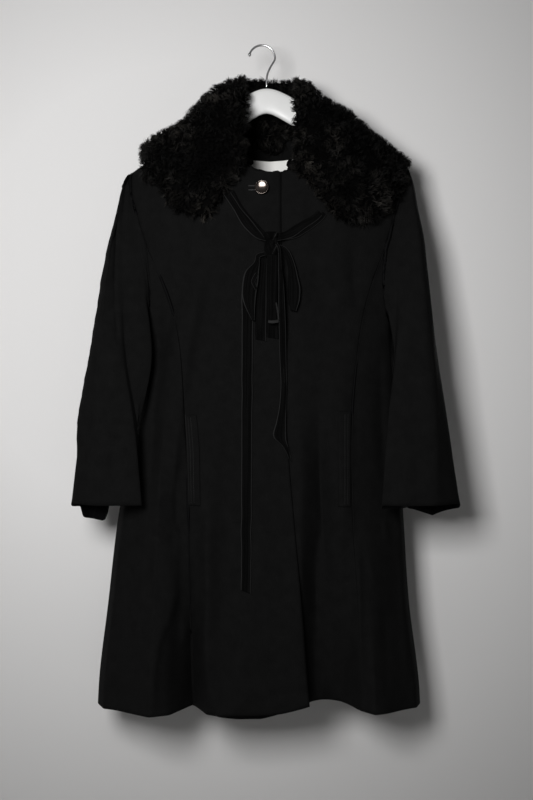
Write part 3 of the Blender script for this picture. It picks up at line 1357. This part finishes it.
for side, rows in WELTS.items():
    bm = bmesh.new()
    bmesh.ops.create_grid(bm, x_segments=WELT_COLUMNS, y_segments=WELT_ROWS, size=0.5)
    for vert in bm.verts:
        u, v = vert.co.x + 0.5, 0.5 - vert.co.y
        ends, over = min(v, 1 - v) * WELT_LONG, min(u, 1 - u) * WELT_WIDE
        height = WELT_HEIGHT * (1 - FALL * math.exp(-over / ROUND) - FALL * math.exp(-ends / ROUND))
        height += ROLL * bell(u * WELT_WIDE - ROLL_AT, ROLL_WIDE)
        for seam in STITCHED:
            height -= GROOVE * bell((u - seam) * WELT_WIDE, GROOVE_WIDE)
        vert.co = welt_point(rows, u, v, height)
    face_front(bm)
    rim = [e for e in bm.edges if e.is_boundary]
    made = bmesh.ops.extrude_edge_only(bm, edges=rim)["geom"]
    for vert in (g for g in made if isinstance(g, bmesh.types.BMVert)):
        vert.co.y = cloth_y(vert.co.x / MM, vert.co.z / MM) * MM - 0.1 * MM
    bmesh.ops.recalc_face_normals(bm, faces=bm.faces)
    mesh = mesh_of(bm, "welt")
    x, _, z = points_of(mesh).T / MM
    outer = np.interp(-z, [-row[0] for row in rows], [row[1] for row in rows])
    set_mask(mesh, "worn", 0.8 * bell(x - outer, 1.1))
    set_mask(mesh, "facing", np.zeros(len(x)))
    finish_piece(f"wool_welt_{side}", mesh, (WOOL,), "wool", f"pocket_welt_{side}")

    bm = bmesh.new()
    for u in STITCHED:
        places = np.linspace(0.02, 0.98, 300)
        line = [welt_point(rows, u, v, WELT_HEIGHT - 0.25) for v in places]
        stitch_row(bm, line, STITCH_LONG, STITCH_THICK)
    finish_piece(f"welt_stitches_{side}", mesh_of(bm, "welt_stitches"), (THREAD,), "wool")


# ---- label, top button and its buttonhole ----

LABEL_TOP = [(-28, -188), (-8, -189.5), (13.5, -191), (35, -189.5), (56, -187)]
LABEL_DEEP, LABEL_THICK, LABEL_OFF = 34, 0.7, 0.3
LABEL_INSET = 0.6  # so that its sides find what is behind them
label_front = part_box("neck_label")[0][1]
inside_back = tree_of([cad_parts["neck_label"].data])
ends, tops = zip(*LABEL_TOP)
bm = bmesh.new()
bmesh.ops.create_grid(bm, x_segments=60, y_segments=24, size=0.5)
for vert in bm.verts:
    u, v = vert.co.x + 0.5, 0.5 - vert.co.y
    x = ends[0] + (ends[-1] - ends[0]) * u
    top = np.interp(x, ends, tops)
    z = top - LABEL_DEEP * v
    inset = min(max(x, ends[0] + LABEL_INSET), ends[-1] - LABEL_INSET)
    hit, _ = seen_at(inside_back, inset * MM, min(z, top - 0.5) * MM, start=-0.3)
    belly = 0.7 * math.sin(math.pi * u) * math.sin(math.pi * min(v * 1.1, 1))
    belly += 0.5 * noise.noise(Vector((u * 5, v * 2, 1)))
    y = (hit.y if hit else label_front) / MM - LABEL_OFF - belly
    vert.co = Vector((x, y, z)) * MM
face_front(bm)
label = finish_piece("woven_label", mesh_of(bm, "label"), (LABEL,), "label", "neck_label")
with_wall(label, LABEL_THICK)

BUTTON_X, BUTTON_Z = 0.3, -253.8
BUTTON_LEAN = (-0.12, 0, -0.02)
BUTTON_PROFILE = [  # radius, and height off the cloth
    (0.01, 0.4), (3, 0.4), (3, 2.4), (9.6, 2.4), (10.9, 2.7), (11.8, 3.4), (12, 4.2), (11.7, 5),
    (11, 5.6), (10.4, 5.5), (9.9, 5.1), (9.3, 4.8), (7.6, 4.55), (5, 4.3), (2.4, 4.15),
    (0.01, 4.1),
]
seat, way = seen_at(FRONT, BUTTON_X * MM, BUTTON_Z * MM)
if way.y > 0:
    way = -way
bm = bmesh.new()
chain = [bm.verts.new((radius * MM, 0, out * MM)) for radius, out in BUTTON_PROFILE]
edges = [bm.edges.new(pair) for pair in zip(chain[:-1], chain[1:])]
bmesh.ops.spin(
    bm, geom=chain + edges, cent=(0, 0, 0), axis=(0, 0, 1), steps=64, angle=2 * math.pi,
    use_merge=True,
)
bmesh.ops.remove_doubles(bm, verts=bm.verts, dist=WELD)
bmesh.ops.recalc_face_normals(bm, faces=bm.faces)
way = (way + Vector(BUTTON_LEAN)).normalized()
turn = way.to_track_quat("Z", "Y").to_matrix().to_4x4()
bmesh.ops.transform(bm, matrix=Matrix.Translation(seat) @ turn, verts=bm.verts)
button = finish_piece(
    "top_button_polished", mesh_of(bm, "button"), (BUTTON,), "button", "top_button"
)
add_finer(button, 1)

BUTTONHOLE = (-250.6, -257.6)  # its two edges
BUTTONHOLE_STITCH = (0.6 * MM, 0.8 * MM, 2.4 * MM)
bm = bmesh.new()
for z in BUTTONHOLE:
    for x in np.arange(20) * 0.62 - 22:
        place = Matrix.Translation(Vector((x, cloth_y(x, z) - 0.35, z)) * MM)
        add_bead(bm, place, BUTTONHOLE_STITCH)
finish_piece("buttonhole_stitches", mesh_of(bm, "buttonhole"), (THREAD,), "wool")


# ---- hanger ----

for name, node_name, material, slot in (
    ("hanger_arms", "hanger_body", HANGER, "hanger"), ("hook_wire", "hanger_hook", STEEL, "hook"),
):
    bm = merged_copy(node_name)
    four_sided(bm, 20)
    add_finer(finish_piece(name, mesh_of(bm, name), (material,), slot, node_name), 2)


# ---- stage ----

def plane(name, width, height, place, turn, material):
    bm = bmesh.new()
    bmesh.ops.create_grid(bm, x_segments=1, y_segments=1, size=0.5)
    where = Matrix.Translation(place) @ Matrix.Rotation(turn, 4, "X")
    bmesh.ops.transform(bm, matrix=where @ Matrix.Diagonal((width, height, 1, 1)), verts=bm.verts)
    mesh = mesh_of(bm, name)
    made = bpy.data.objects.new(name, mesh)
    mesh.materials.append(material)
    scene.collection.objects.link(made)


plane("studio_wall", 6, 4, (0, WALL_Y * MM, 0.5), math.pi / 2,
      wall_material("wall_paint", (0.86, 0.85, 0.845), True))
plane("studio_floor", 8, 8, (0, 0, FLOOR_Z * MM), 0,
      wall_material("floor_paint", (0.45, 0.45, 0.445), False))
